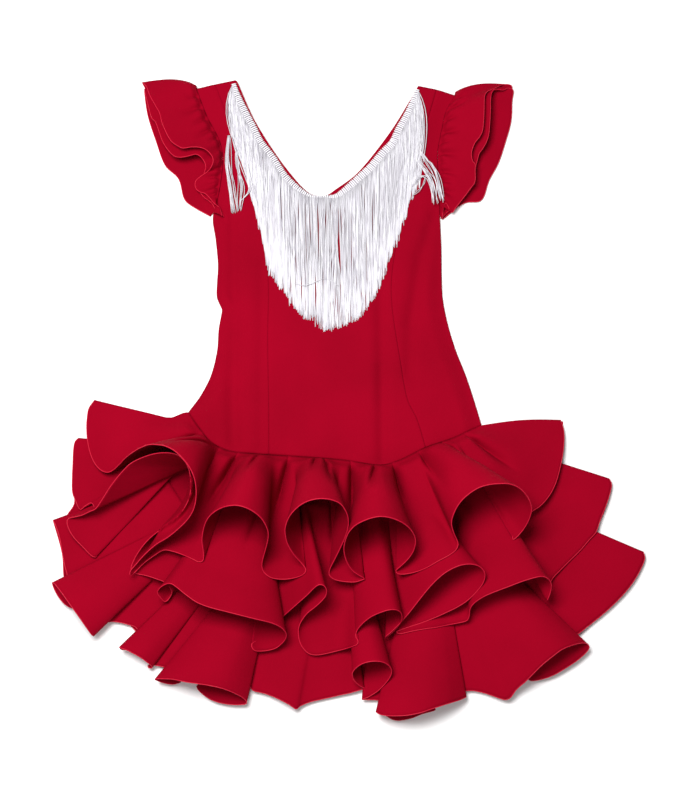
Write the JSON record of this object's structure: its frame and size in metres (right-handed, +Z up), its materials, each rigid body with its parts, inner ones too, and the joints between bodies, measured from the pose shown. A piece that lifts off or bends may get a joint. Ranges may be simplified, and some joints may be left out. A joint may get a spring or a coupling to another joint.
{
  "type": "child's flamenco dress",
  "caption": "Child's red flamenco dress laid flat, with tiered circular ruffles at the hem, double ruffle sleeves, a V neck and a long white neck fringe",
  "frame": {"origin": "middle of the dress's outline as it lies flat, on the floor", "axes": "+X across the dress towards the picture's right, +Y from the hem to the shoulders, +Z up from the floor, out of the front"},
  "size_m": [0.693, 0.7886, 0.1054],
  "materials": {
    "red_crepe": "matt stretch crepe with a soft sheen",
    "white_fringe": "satin rayon strands"
  },
  "bodies": {
    "root": {"bodice_front_centre": "red_crepe", "bodice_front_side_left": "red_crepe", "bodice_front_side_right": "red_crepe", "bodice_back": "red_crepe", "skirt_base_front": "red_crepe", "skirt_base_back": "red_crepe", "ruffle_1_front": "red_crepe", "ruffle_1_back": "red_crepe", "ruffle_2_front": "red_crepe", "ruffle_2_back": "red_crepe", "ruffle_3_front": "red_crepe", "ruffle_3_back": "red_crepe", "sleeve_left_outer": "red_crepe", "sleeve_left_inner": "red_crepe", "sleeve_right_outer": "red_crepe", "sleeve_right_inner": "red_crepe", "neck_fringe": "white_fringe"}
  },
  "joints": []
}
